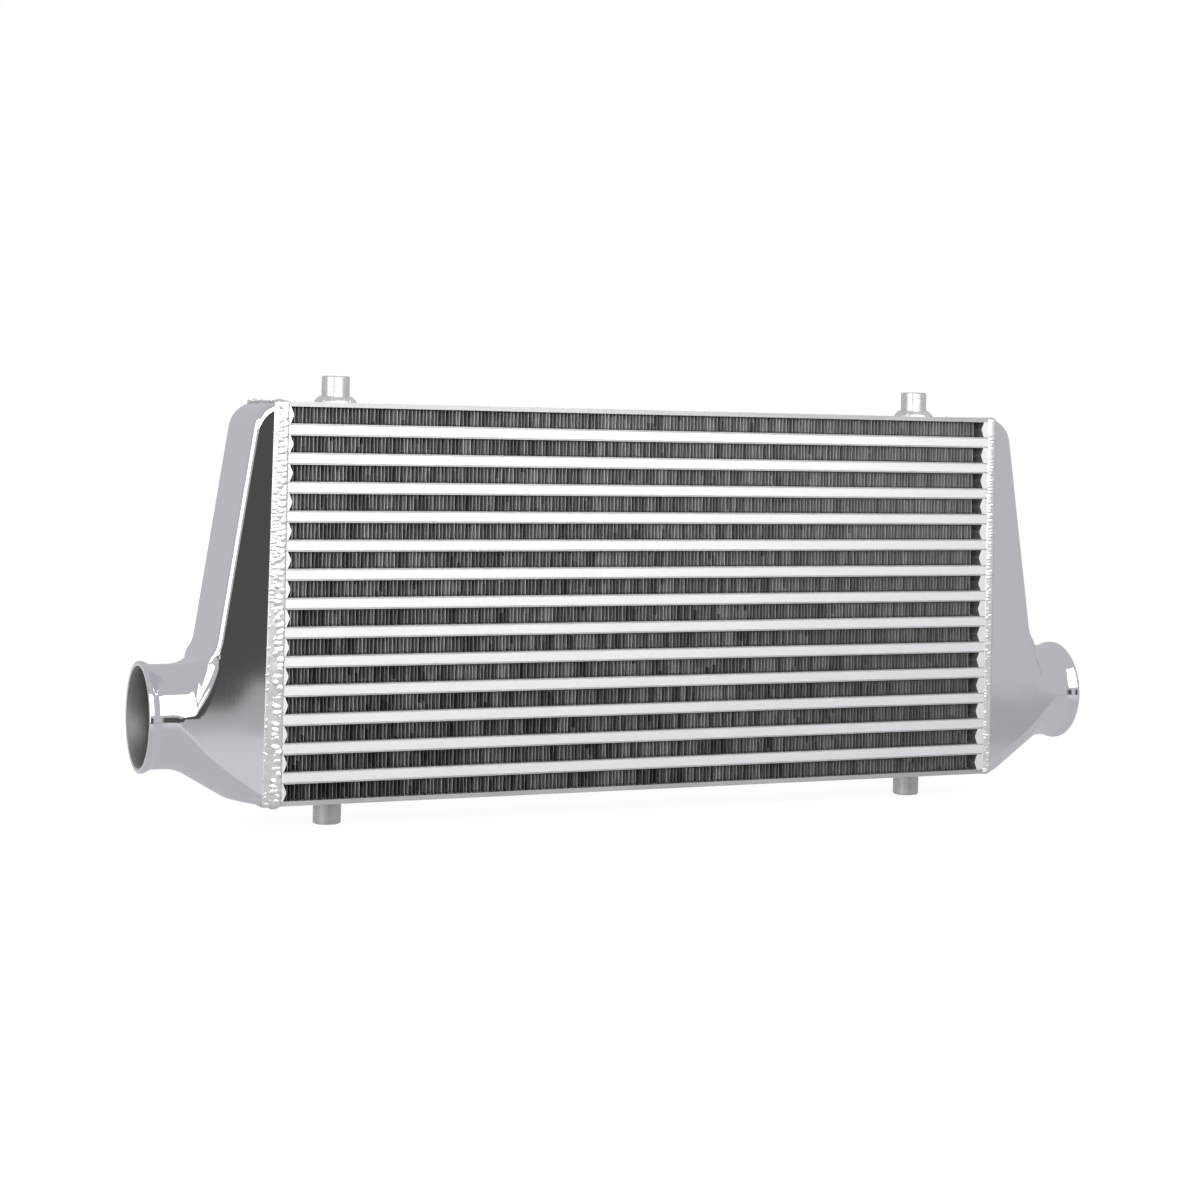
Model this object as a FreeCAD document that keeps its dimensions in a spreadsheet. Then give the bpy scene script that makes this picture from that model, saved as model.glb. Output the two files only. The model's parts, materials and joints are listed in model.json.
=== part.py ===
import FreeCAD, Part
import math
import os
import Sketcher
from FreeCAD import Rotation, Vector

# Front-mount charge-air cooler with a bar-and-plate core and two cast end tanks, in millimetres.
# +X runs along the core from the left tank to the right one, the front is -Y and +Z is up.
# The origin is the centre of the core, which is also the centre of the whole cooler.

DRIVING_SIZES = (
    # brazed core: ambient-air rows of corrugated fins between charge-air rows closed by long bars
    ("core_length", 610),
    ("core_depth", 76.2),
    ("row_count", 14),
    ("row_height", 12.4),
    ("bar_height", 7.3),
    ("sheet_thickness", 0.7),
    ("sheet_recess", 0.4),
    ("plate_thickness", 3.5),
    ("long_bar_width", 8),
    ("long_bar_nose", 1.6),
    ("bar_edge", 0.6),
    ("end_bar_width", 10),
    ("end_bar_nose", 2.2),
    ("nose_tip", 1.6),
    # folded fin strips
    ("fin_fold_pitch", 30),
    ("fin_strip", 0.5),
    ("fin_recess", 0.9),
    ("fin_end_gap", 0.2),
    ("inner_fold_pitch", 19),
    ("inner_strip", 0.4),
    # cast tank: how far it reaches from the core's end face, and its heights from the core's centre
    ("tank_wall", 3),
    ("tank_top_reach", 15.6),
    ("tank_top_drop", 7.5),
    ("tank_face_reach", 48.9),
    ("tank_foot_reach", 37),
    ("tank_foot_rise", 4.4),
    ("tank_top_radius", 22),
    ("shoulder_radius", 22),
    ("tank_edge_bevel", 3.4),
    # hose neck, cast in one with the tank
    ("neck_drop", 83.6),
    ("neck_radius", 38),
    ("neck_reach", 88.7),
    ("neck_room", 0.3),
    ("flare_radius", 20),
    ("flare_lap", 1.9),
    ("flare_chords", 3),
    ("sweep_start", 2),
    ("sweep_end", 62),
    ("lip_radius", 40.5),
    ("lip_land", 3.5),
    ("lip_slope", 5.5),
    ("mouth_chamfer", 1.9),
    # bead that joins a tank to the core
    ("tank_weld_core_side", 8),
    ("tank_weld_tank_side", 7),
    ("tank_weld_height", 1.4),
    ("tank_weld_bevel", 1.26),
    # threaded mounting bosses on the plates
    ("boss_inset", 55),
    ("boss_radius", 10.5),
    ("boss_height", 20),
    ("thread_radius", 3.4),
    ("thread_depth", 15),
    ("drill_point", 2),
    ("boss_weld_radius", 16.5),
    ("boss_weld_height", 6),
)

doc = FreeCAD.newDocument("charge_air_cooler")
table = doc.addObject("Spreadsheet::Sheet", "sizes")
for line, (alias, number) in enumerate(DRIVING_SIZES, start=1):
    table.set(f"A{line}", alias)
    table.set(f"B{line}", str(number))
    table.setAlias(f"B{line}", alias)
doc.recompute()


def number_of(value):
    return value.number if isinstance(value, Size) else value


def formula_of(value):
    return value.formula if isinstance(value, Size) else repr(value)


class Size:
    # a length that knows its number and the formula that ties it to the size table

    def __init__(self, number, formula):
        self.number = number
        self.formula = formula

    def __add__(self, other):
        return Size(self.number + number_of(other), f"({self.formula} + {formula_of(other)})")

    def __sub__(self, other):
        return Size(self.number - number_of(other), f"({self.formula} - {formula_of(other)})")

    def __mul__(self, other):
        return Size(self.number * number_of(other), f"({self.formula} * {formula_of(other)})")

    def __truediv__(self, other):
        return Size(self.number / number_of(other), f"({self.formula} / {formula_of(other)})")

    def __neg__(self):
        return Size(-self.number, f"(0 - {self.formula})")

    def root(self):
        return Size(self.number**0.5, f"sqrt({self.formula})")


size = {alias: Size(float(table.get(alias)), f"sizes.{alias}") for alias, _ in DRIVING_SIZES}

row_count = int(size["row_count"].number)
row_pitch = size["row_height"] + size["bar_height"] + size["sheet_thickness"] * 2
core_height = size["row_count"] * row_pitch - size["bar_height"] - size["sheet_thickness"] * 2
core_height = core_height + size["plate_thickness"] * 2
half_length = size["core_length"] / 2
half_depth = size["core_depth"] / 2
half_height = core_height / 2
first_charge_row = (size["row_count"] / 2 - 1) * row_pitch
first_ambient_row = (size["row_count"] / 2 - 0.5) * row_pitch
boss_spread = size["core_length"] - size["boss_inset"] * 2


def slant(run, rise):
    return (run * run + rise * rise).root()


flare_reach = size["tank_face_reach"] - size["flare_lap"]
neck_start = flare_reach + size["flare_radius"] + size["neck_room"]
sweep_radius = slant(half_depth, half_height - size["neck_drop"]) + size["neck_room"]


def place(thing, x=None, y=None, z=None, turn=None):
    # puts a sub-part where its formulas say, turned about the axis and by the degrees in turn
    if turn:
        axis, degrees = turn
        thing.Placement.Rotation = Rotation(axis, degrees)
    for name, value in (("x", x), ("y", y), ("z", z)):
        if value is not None:
            thing.setExpression(f"Placement.Base.{name}", value.formula)
    return thing


def new_body(label):
    body = doc.addObject("PartDesign::Body", label)
    body.Label = label
    return body


def outline(body, role, corners):
    # closed sketch of straight lines on one of the body's own planes, every corner tied to sizes
    sketch = body.newObject("Sketcher::SketchObject", f"{body.Name}_outline")
    plane = next(p for p in body.Origin.OriginFeatures if p.Role == role)
    sketch.AttachmentSupport = (plane, "")
    sketch.MapMode = "FlatFace"
    add_loop(sketch, corners)
    return sketch


def add_loop(sketch, corners):
    first = sketch.GeometryCount
    points = [Vector(number_of(a), number_of(b), 0) for a, b in corners]
    last = len(points) - 1
    for n, start in enumerate(points):
        end = points[0] if n == last else points[n + 1]
        sketch.addGeometry(Part.LineSegment(start, end))
    for n, corner in enumerate(corners):
        here = first + n
        after = first if n == last else here + 1
        sketch.addConstraint(Sketcher.Constraint("Coincident", here, 2, after, 1))
        for kind, value in zip(("DistanceX", "DistanceY"), corner):
            line = Sketcher.Constraint(kind, -1, 1, here, 1, float(number_of(value)))
            index = sketch.addConstraint(line)
            if isinstance(value, Size):
                sketch.setExpression(f"Constraints[{index}]", value.formula)


def pad(body, sketch, length):
    feature = body.newObject("PartDesign::Pad", f"{body.Name}_pad")
    feature.Profile = sketch
    feature.SideType = "Symmetric"
    feature.setExpression("Length", length.formula)
    return feature


def revolve(body, sketch, axis, degrees=360):
    # a part turn is centred on the sketch's plane
    feature = body.newObject("PartDesign::Revolution", f"{body.Name}_turned")
    feature.Profile = sketch
    feature.ReferenceAxis = (sketch, [axis])
    feature.Angle = degrees
    feature.Midplane = degrees < 360
    return feature


def step_down(body, feature, sketch, copies):
    # repeats a feature downwards, one copy for each row
    pattern = body.newObject("PartDesign::LinearPattern", f"{body.Name}_rows")
    pattern.Originals = [feature]
    pattern.Direction = (sketch, ["V_Axis"])
    pattern.Reversed = True
    pattern.setExpression("Length", (row_pitch * (copies - 1)).formula)
    pattern.setExpression("Occurrences", copies.formula)
    body.Tip = pattern


def dress_edges(body, kind, width, wanted):
    # rounds or bevels the edges of the body's tip that the test picks
    doc.recompute()
    base = body.Tip
    names = [f"Edge{n}" for n, edge in enumerate(base.Shape.Edges, start=1) if wanted(edge)]
    dressed = body.newObject(f"PartDesign::{kind}", f"{body.Name}_edges")
    dressed.Base = (base, names)
    dressed.setExpression("Radius" if kind == "Fillet" else "Size", width.formula)
    return dressed


def lies_at(edge, **place_at):
    # true where every end of the edge has the coordinates that are asked for
    return all(
        abs(getattr(end, axis.upper()) - number_of(value)) < 0.001
        for end in edge.Vertexes for axis, value in place_at.items()
    )


# Long bars: front and back closures of each charge-air row, with a blunt nose on the inner side


def long_bar(label, row, side):
    body = new_body(label)
    top = size["bar_height"] / 2
    edge = size["bar_edge"]
    tip = size["nose_tip"] / 2
    face = -half_depth
    back = face + size["long_bar_width"]
    nose = back + size["long_bar_nose"]
    sketch = outline(body, "YZ_Plane", (
        (face, edge - top), (face + edge, -top), (back, -top), (nose, -tip),
        (nose, tip), (back, top), (face + edge, top), (face, top - edge),
    ))
    pad(body, sketch, size["core_length"])
    turn = (Vector(0, 0, 1), 180) if side == "back" else None
    return place(body, z=first_charge_row - row_pitch * row, turn=turn)


# End bars: short nosed bars that close both ends of each ambient row and run from front to back


def end_bars(label, turn):
    body = new_body(label)
    top = size["row_height"] / 2
    tip = size["nose_tip"] / 2
    inner = half_length - size["end_bar_width"]
    nose = inner - size["end_bar_nose"]
    sketch = outline(body, "XZ_Plane", (
        (half_length, -top), (half_length, top), (inner, top),
        (nose, tip), (nose, -tip), (inner, -top),
    ))
    bar = pad(body, sketch, size["core_depth"])
    step_down(body, bar, sketch, size["row_count"])
    return place(body, z=first_ambient_row, turn=turn)


# Parting sheets: a pair for each charge-air row, brazed to its bars and to the fins outside it


def parting_sheets(label):
    body = new_body(label)
    low = size["bar_height"] / 2
    high = low + size["sheet_thickness"]
    edge = half_depth - size["sheet_recess"]
    sketch = outline(body, "YZ_Plane", ((-edge, low), (edge, low), (edge, high), (-edge, high)))
    add_loop(sketch, ((-edge, -high), (edge, -high), (edge, -low), (-edge, -low)))
    pair = pad(body, sketch, size["core_length"])
    step_down(body, pair, sketch, size["row_count"] - 1)
    return place(body, z=first_charge_row)


# Fin strips: one sheet folded to and fro, every fold brazed to the sheet above or below it


def folded_strip(span, height, pitch, strip, run):
    # folds follow X, the height is Z and the strip runs along Y, centred on the origin
    folds = 2 * max(1, round(span / pitch))
    step = span / folds
    rise = strip * ((step**2 + height**2) ** 0.5) / step
    low = [
        Vector(n * step - span / 2, -run / 2, (height / 2 - rise) if n % 2 else -height / 2)
        for n in range(folds + 1)
    ]
    high = [point + Vector(0, 0, rise) for point in reversed(low)]
    section = Part.Face(Part.makePolygon(low + high + low[:1]))
    return section.extrude(Vector(0, run, 0))


def ambient_fin(label, strip, row):
    fin = doc.addObject("Part::Feature", label)
    fin.Label = label
    fin.Shape = strip
    return place(fin, z=first_ambient_row - row_pitch * row)


def charge_fins(label):
    # the inner fins fold across the depth, so that the charge air runs from tank to tank
    fins = doc.addObject("Part::Feature", label)
    fins.Label = label
    room = (half_depth - size["long_bar_width"] - size["long_bar_nose"] - size["fin_end_gap"]) * 2
    strip = folded_strip(
        room.number, size["bar_height"].number, size["inner_fold_pitch"].number,
        size["inner_strip"].number, size["core_length"].number,
    )
    strip.rotate(Vector(0, 0, 0), Vector(0, 0, 1), 90)
    rows = []
    for row in range(row_count - 1):
        copy = strip.copy()
        copy.translate(Vector(0, 0, (first_charge_row - row_pitch * row).number))
        rows.append(copy)
    fins.Shape = Part.makeCompound(rows)
    return fins


# Top and bottom plates: the thick outer sheets of the stack


def plate(label, way):
    block = doc.addObject("Part::Box", label)
    block.Label = label
    block.setExpression("Length", size["core_length"].formula)
    block.setExpression("Width", size["core_depth"].formula)
    block.setExpression("Height", size["plate_thickness"].formula)
    bottom = half_height - size["plate_thickness"] if way > 0 else -half_height
    return place(block, x=-half_length, y=-half_depth, z=bottom)


# End tank: a wedge-shaped casting whose flat front and back run out into a round hose neck.
# The blank is the casting's outer form and the hollow is the space inside it, made from the same
# corners a wall's thickness further in.


def tank_profile(label, inset, start, soft_bends):
    # side profile of the tank at full depth, with its corners rounded
    body = new_body(label)
    slope = (size["tank_face_reach"] - size["tank_top_reach"]) / (half_height + size["neck_drop"])
    neck_top = size["neck_radius"] + size["neck_room"] - size["neck_drop"] - inset
    shoulder = half_length + size["tank_top_reach"] + slope * (half_height - neck_top) - inset
    corner = (half_length + size["tank_top_reach"] - inset,
              half_height - size["tank_top_drop"] - inset)
    foot = size["tank_foot_rise"] - half_height + inset
    end = half_length + neck_start
    sketch = outline(body, "XZ_Plane", (
        (start, -half_height + inset), (half_length + size["tank_foot_reach"] - inset, foot),
        (end, foot), (end, neck_top), (shoulder, neck_top), corner, (start, half_height - inset),
    ))
    pad(body, sketch, (half_depth - inset) * 2)
    bends = [(corner, size["tank_top_radius"] - inset)]
    if soft_bends:
        bends.append(((shoulder, neck_top), size["shoulder_radius"]))
    for (x, z), radius in bends:
        dress_edges(body, "Fillet", radius, lambda edge: lies_at(edge, x=x, z=z))
    return body


def bevel_tank_edges(body):
    # breaks the long edges of the casting's front and back, but not those of its two open ends
    side = half_depth
    end = half_length + neck_start
    dress_edges(body, "Chamfer", size["tank_edge_bevel"], lambda edge: (
        (lies_at(edge, y=side) or lies_at(edge, y=-side))
        and not lies_at(edge, x=half_length) and not lies_at(edge, x=end)
    ))


def flare(label, inset):
    # turned about the neck's axis: above it a disc and a tight concave flare down to the neck
    body = new_body(label)
    start = half_length - inset
    step = half_length + flare_reach - inset
    end = half_length + neck_start
    radius = size["neck_radius"] - inset
    bend = size["flare_radius"] + inset
    chords = int(size["flare_chords"].number)
    turns = [math.pi / 2 * n / chords for n in range(chords)]
    arc = [(step + bend * (1 - math.sin(a)), radius + bend * (1 - math.cos(a))) for a in turns]
    sketch = outline(body, "XZ_Plane", [
        (start, 0), (end, 0), (end, radius), *arc, (step, radius + bend),
        (step, core_height), (start, core_height),
    ])
    revolve(body, sketch, "H_Axis", 180)
    return place(body, z=-size["neck_drop"])


def sweep(label, inset):
    # the same below the axis, where a long cone leads from the core's corners to the neck
    body = new_body(label)
    run = size["sweep_end"] - size["sweep_start"]
    thinning = slant(run, sweep_radius - size["neck_radius"]) / run * inset
    low = size["neck_radius"] - thinning
    high = sweep_radius - thinning
    start = half_length - inset
    end = half_length + neck_start
    sketch = outline(body, "XZ_Plane", (
        (start, 0), (end, 0), (end, -low), (half_length + size["sweep_end"], -low),
        (half_length + size["sweep_start"], -high), (start, -high),
    ))
    revolve(body, sketch, "H_Axis", 180)
    return place(body, z=-size["neck_drop"])


def neck(label):
    # outside of the hose neck, with a lip that keeps the hose from slipping off
    body = new_body(label)
    start = half_length + neck_start
    mouth = half_length + size["neck_reach"]
    land = mouth - size["lip_land"]
    sketch = outline(body, "XZ_Plane", (
        (start, 0), (mouth, 0), (mouth, size["lip_radius"]), (land, size["lip_radius"]),
        (land - size["lip_slope"], size["neck_radius"]), (start, size["neck_radius"]),
    ))
    revolve(body, sketch, "H_Axis")
    return place(body, z=-size["neck_drop"])


def bore(label):
    body = new_body(label)
    start = half_length + neck_start
    mouth = half_length + size["neck_reach"]
    radius = size["neck_radius"] - size["tank_wall"]
    opened = radius + size["mouth_chamfer"]
    sketch = outline(body, "XZ_Plane", (
        (start, 0), (mouth, 0), (mouth, opened), (mouth - size["mouth_chamfer"], radius),
        (start, radius),
    ))
    revolve(body, sketch, "H_Axis")
    return place(body, z=-size["neck_drop"])


def combine(kind, label, *shapes):
    joined = doc.addObject(kind, label)
    joined.Label = label
    if kind == "Part::MultiFuse":
        joined.Shapes = list(shapes)
    else:
        joined.Base, joined.Tool = shapes
    return joined


def tank_form(label, profile, above, below, stem):
    rounding = combine("Part::MultiFuse", f"{label}_rounding", above, below)
    shaped = combine("Part::Common", f"{label}_body", profile, rounding)
    return combine("Part::MultiFuse", label, shaped, stem)


blank_profile = tank_profile("blank_profile", 0, half_length, True)
bevel_tank_edges(blank_profile)
blank_flare = flare("blank_flare", 0)
blank_sweep = sweep("blank_sweep", 0)
tank_blank = tank_form("tank_blank", blank_profile, blank_flare, blank_sweep, neck("tank_neck"))

wall = size["tank_wall"]
hollow_profile = tank_profile("hollow_profile", wall, half_length - wall, False)
hollow_flare = flare("hollow_flare", wall)
hollow_sweep = sweep("hollow_sweep", wall)
tank_hollow = tank_form("tank_hollow", hollow_profile, hollow_flare, hollow_sweep, bore("tank_bore"))


def mirrored(label, source):
    copy = doc.addObject("Part::Mirroring", label)
    copy.Label = label
    copy.Source = source
    copy.Normal = Vector(1, 0, 0)
    return copy


# Tank weld: a low bead round the joint, lying on the core on one side and on the tank on the other


def tank_weld(label):
    band = new_body(f"{label}_band")
    high = half_height + size["tank_weld_height"]
    wide = half_depth + size["tank_weld_height"]
    sketch = outline(band, "YZ_Plane", ((-wide, -high), (wide, -high), (wide, high), (-wide, high)))
    width = size["tank_weld_core_side"] + size["tank_weld_tank_side"]
    pad(band, sketch, width)
    dress_edges(band, "Chamfer", size["tank_weld_bevel"], lambda edge: (
        lies_at(edge, x=width / 2) or lies_at(edge, x=-width / 2)))
    middle = half_length + (size["tank_weld_tank_side"] - size["tank_weld_core_side"]) / 2
    place(band, x=middle)
    block = doc.addObject("Part::Box", f"{label}_core")
    block.setExpression("Length", size["core_length"].formula)
    block.setExpression("Width", size["core_depth"].formula)
    block.setExpression("Height", core_height.formula)
    place(block, x=-half_length, y=-half_depth, z=-half_height)
    ring = combine("Part::Cut", f"{label}_ring", band, block)
    return combine("Part::Cut", label, ring, tank_blank)


# Mounting boss: a round bung with a blind threaded hole, standing on a plate


def bosses(label, way):
    body = new_body(label)
    outer = size["boss_radius"]
    top = size["boss_height"]
    hole = size["thread_radius"]
    floor = top - size["thread_depth"]
    sketch = outline(body, "XZ_Plane", (
        (0, 0), (outer, 0), (outer, top), (hole, top), (hole, floor),
        (0, floor - size["drill_point"]),
    ))
    return stand_on_plate(body, sketch, way)


def boss_welds(label, way):
    body = new_body(label)
    inner = size["boss_radius"]
    outer = size["boss_weld_radius"]
    sketch = outline(body, "XZ_Plane", ((inner, 0), (outer, 0), (inner, size["boss_weld_height"])))
    return stand_on_plate(body, sketch, way)


def stand_on_plate(body, sketch, way):
    # turns the section about its upright axis and repeats it at the other end of the plate
    pattern = body.newObject("PartDesign::LinearPattern", f"{body.Name}_pair")
    pattern.Originals = [revolve(body, sketch, "V_Axis")]
    pattern.Direction = (sketch, ["H_Axis"])
    pattern.setExpression("Length", boss_spread.formula)
    pattern.Occurrences = 2
    body.Tip = pattern
    turn = None if way > 0 else (Vector(1, 0, 0), 180)
    return place(body, x=boss_spread / -2, z=half_height * way, turn=turn)


# Assembly: every sub-part by the name of its file

parts = []
for row in range(row_count - 1):
    parts.append(long_bar(f"front_bar_{row + 1:02d}", row, "front"))
    parts.append(long_bar(f"back_bar_{row + 1:02d}", row, "back"))

fin_room = (half_length - size["end_bar_width"] - size["end_bar_nose"] - size["fin_end_gap"]) * 2
fin_run = (half_depth - size["fin_recess"]) * 2
outer_strip = folded_strip(
    fin_room.number, size["row_height"].number, size["fin_fold_pitch"].number,
    size["fin_strip"].number, fin_run.number,
)
for row in range(row_count):
    parts.append(ambient_fin(f"ambient_fin_{row + 1:02d}", outer_strip, row))

parts.append(end_bars("right_end_bars", None))
parts.append(end_bars("left_end_bars", (Vector(0, 0, 1), 180)))
parts.append(parting_sheets("parting_sheets"))
parts.append(charge_fins("charge_fins"))
parts.append(plate("top_plate", 1))
parts.append(plate("bottom_plate", -1))

right_tank = combine("Part::Cut", "right_tank", tank_blank, tank_hollow)
right_weld = tank_weld("right_tank_weld")
parts += [right_tank, right_weld]
parts.append(mirrored("left_tank", right_tank))
parts.append(mirrored("left_tank_weld", right_weld))

for level, way in (("top", 1), ("bottom", -1)):
    parts.append(bosses(f"{level}_bosses", way))
    parts.append(boss_welds(f"{level}_boss_welds", way))

doc.recompute()

for thing in doc.Objects:
    if "Invalid" in thing.State or "Error" in thing.State:
        raise RuntimeError(f"{thing.Label} failed to build")
for part in parts:
    if part.Shape.isNull() or not part.Shape.isValid():
        raise RuntimeError(f"{part.Label} has no valid shape")

os.makedirs("parts", exist_ok=True)
for part in parts:
    part.Shape.exportStep(f"parts/{part.Label}.step")
    box = part.Shape.BoundBox
    print(f"{part.Label}: {len(part.Shape.Solids)} solids, {part.Shape.Volume:.0f} mm3,"
          f" x {box.XMin:.1f} {box.XMax:.1f}, z {box.ZMin:.1f} {box.ZMax:.1f}")
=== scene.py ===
import json
import math

import bmesh
import bpy
import numpy as np
from mathutils import Matrix, Vector


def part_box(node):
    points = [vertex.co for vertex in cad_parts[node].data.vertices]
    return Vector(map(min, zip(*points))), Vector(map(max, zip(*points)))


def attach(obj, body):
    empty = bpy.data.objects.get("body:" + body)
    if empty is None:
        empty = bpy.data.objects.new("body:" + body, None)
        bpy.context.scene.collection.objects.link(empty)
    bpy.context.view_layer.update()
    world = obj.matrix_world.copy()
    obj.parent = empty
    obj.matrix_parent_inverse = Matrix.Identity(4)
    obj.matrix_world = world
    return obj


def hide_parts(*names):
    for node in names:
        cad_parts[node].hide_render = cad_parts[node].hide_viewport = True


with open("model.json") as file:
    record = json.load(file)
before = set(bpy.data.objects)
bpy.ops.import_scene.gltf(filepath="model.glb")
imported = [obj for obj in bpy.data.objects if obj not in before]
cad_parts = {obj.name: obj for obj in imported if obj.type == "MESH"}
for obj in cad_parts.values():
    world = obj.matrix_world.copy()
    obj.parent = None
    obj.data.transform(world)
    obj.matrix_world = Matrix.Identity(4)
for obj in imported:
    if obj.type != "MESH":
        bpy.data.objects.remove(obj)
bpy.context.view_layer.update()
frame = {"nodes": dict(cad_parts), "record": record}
mm = 0.001


class Wire:
    # one socket of a node tree, so that sums of sockets are written as sums

    def __init__(self, graph, socket):
        self.graph = graph
        self.socket = socket

    def maths(self, operation, first, second=0.0):
        return self.graph.node("ShaderNodeMath", {"operation": operation}, {0: first, 1: second})

    def __add__(self, other):
        return self.maths("ADD", self, other)

    def __sub__(self, other):
        return self.maths("SUBTRACT", self, other)

    def __rsub__(self, other):
        return self.maths("SUBTRACT", other, self)

    def __mul__(self, other):
        return self.maths("MULTIPLY", self, other)

    def __truediv__(self, other):
        return self.maths("DIVIDE", self, other)

    def __mod__(self, other):
        return self.maths("FLOORED_MODULO", self, other)

    def __floordiv__(self, other):
        return self.maths("FLOOR", self / other)

    __radd__ = __add__
    __rmul__ = __mul__


class Graph:
    # a node tree with one way to add any node

    def __init__(self, tree):
        self.tree = tree

    def node(self, kind, settings=None, values=None, output=0):
        made = self.tree.nodes.new(kind)
        for name, setting in (settings or {}).items():
            setattr(made, name, setting)
        for name, value in (values or {}).items():
            for item in value if isinstance(value, list) else [value]:
                if isinstance(item, Wire):
                    self.tree.links.new(item.socket, made.inputs[name])
                else:
                    made.inputs[name].default_value = item
        return Wire(self, made.outputs[output]) if made.outputs else None

    def parts(self, vector):
        split = self.node("ShaderNodeSeparateXYZ", None, {0: vector}).socket.node
        return [Wire(self, socket) for socket in split.outputs]

    def vector(self, x=0.0, y=0.0, z=0.0):
        return self.node("ShaderNodeCombineXYZ", None, {0: x, 1: y, 2: z})

    def noise(self, place, scale, detail=2.0, stretch=None):
        if stretch:
            place = self.node("ShaderNodeMapping", None, {"Vector": place, "Scale": stretch})
        return self.node("ShaderNodeTexNoise", None,
                         {"Vector": place, "Scale": scale, "Detail": detail})

    def ramped(self, value, low, high, start=0.0, end=1.0):
        # eases from start to end while the value goes from low to high
        return self.node("ShaderNodeMapRange", {"interpolation_type": "SMOOTHSTEP"},
                         {0: value, 1: low, 2: high, 3: start, 4: end})

    def colour(self, factor, first, second):
        return self.node("ShaderNodeMix", {"data_type": "RGBA"},
                         {0: factor, 6: first, 7: second}, 2)


def grey(level, tint=(1.0, 1.0, 1.0)):
    return (*(level * part for part in tint), 1.0)


# Finishes: each is a procedural metal that reads Object coordinates, in metres


def newFinish(name):
    finish = bpy.data.materials.new(name)
    finish.use_nodes = True
    finish.node_tree.nodes.clear()
    graph = Graph(finish.node_tree)
    return finish, graph, graph.node("ShaderNodeTexCoord", output="Object")


def metalSurface(graph, colour, roughness, height, depth, metallic=1.0):
    # height is a field from 0 to 1, and depth what it stands for in metres
    bump = graph.node("ShaderNodeBump", None,
                      {"Strength": 1.0, "Distance": depth, "Height": height})
    surface = graph.node("ShaderNodeBsdfPrincipled", None, {
        "Base Color": colour, "Metallic": metallic, "Roughness": roughness, "Normal": bump,
    })
    graph.node("ShaderNodeOutputMaterial", None, {"Surface": surface})


def castSkin():
    values = {"light": grey(0.88, (0.99, 0.99, 1.01)), "dark": grey(0.81, (0.98, 0.98, 1.02)),
              "roughness": 0.02, "spread": 0.05, "depth": 0.25 * mm,
              "inside": grey(0.27), "insideRoughness": 0.5}
    finish, graph, place = newFinish("castSkin")
    within = graph.node("ShaderNodeAttribute", {"attribute_name": "inside"}, None, 2)
    cloud = graph.noise(place, 30.0, 3.0)
    grain = graph.noise(place, 900.0, 2.0)
    polish = graph.noise(place, 60.0, 4.0, (22.0, 22.0, 0.8))
    sway = graph.noise(place, 16.0, 1.0)
    colour = graph.colour(cloud * 0.6 + grain * 0.4, values["dark"], values["light"])
    # inside the casting and its bore the colour is dark and rough: partly the raw casting, partly
    # painted shade in the bore
    colour = graph.colour(within, colour, values["inside"])
    roughness = values["roughness"] + values["spread"] * (cloud * 0.5 + polish * 0.5)
    roughness = roughness + within * values["insideRoughness"]
    height = sway * 0.4 + polish * 0.003 + grain * 0.0015 + within * grain * 0.6
    metalSurface(graph, colour, roughness, height, values["depth"])
    return finish


def barSkin():
    values = {"light": grey(0.97), "dark": grey(0.90), "roughness": 0.36, "spread": 0.14,
              "depth": 0.02 * mm}
    finish, graph, place = newFinish("barSkin")
    brushed = graph.noise(place, 90.0, 4.0, (0.25, 30.0, 30.0))
    cloud = graph.noise(place, 40.0, 2.0)
    colour = graph.colour(brushed * 0.5 + cloud * 0.5, values["dark"], values["light"])
    roughness = values["roughness"] + values["spread"] * brushed
    metalSurface(graph, colour, roughness, brushed, values["depth"])
    return finish


def finSkin():
    values = {"light": grey(0.90), "dark": grey(0.12), "roughness": 0.36, "spread": 0.2,
              "metallic": 0.6, "wall": 1.45 * mm, "depth": 0.05 * mm,
              "pitch": 21.1 * mm, "folded": 4.4 * mm, "half": 6.0 * mm, "rowEdgeShadeShare": 0.25}
    finish, graph, place = newFinish("finSkin")
    x, y, z = graph.parts(place)
    wall = x // values["wall"] + (z // values["pitch"]) * 37.0
    # each fin wall gets its own brightness between near-black and light: partly random tone, partly
    # painted highlights on fins that catch the light and painted shade between them
    each = graph.node("ShaderNodeTexWhiteNoise", {"noise_dimensions": "1D"}, {"W": wall})
    patch = graph.noise(place, 22.0, 3.0, (1.0, 1.0, 3.0))
    mottle = graph.noise(place, 420.0, 2.0)
    contrast = graph.ramped(x, 0.0, 0.25, 0.7, 0.3)
    bright = (each - 0.5) * contrast + patch * 0.3 + mottle * 0.1
    # painted light: the fins are made lighter towards the top of the core, as if lit from above
    bright = bright + graph.ramped(z, -0.15, 0.15, 0.13, 0.38)
    # painted shade: each fin row darkens towards its top and bottom edges, where the bars beside it
    # shade the fins
    away = graph.node("ShaderNodeMath", {"operation": "ABSOLUTE"},
                      {0: z % values["pitch"] - values["pitch"] / 2})
    rowEdgeShade = graph.ramped(away, values["folded"], values["half"], 1.0, values["rowEdgeShadeShare"])
    colour = graph.colour(bright * rowEdgeShade, values["dark"], values["light"])
    roughness = values["roughness"] + values["spread"] * mottle
    metalSurface(graph, colour, roughness, mottle, values["depth"], values["metallic"])
    return finish


def plateSkin():
    values = {"light": grey(0.62), "dark": grey(0.46), "roughness": 0.34, "spread": 0.2,
              "depth": 0.03 * mm}
    finish, graph, place = newFinish("plateSkin")
    rolled = graph.noise(place, 70.0, 4.0, (0.4, 9.0, 9.0))
    cloud = graph.noise(place, 18.0, 3.0)
    colour = graph.colour(cloud * 0.7 + rolled * 0.3, values["dark"], values["light"])
    roughness = values["roughness"] + values["spread"] * cloud
    metalSurface(graph, colour, roughness, rolled, values["depth"])
    return finish


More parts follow.
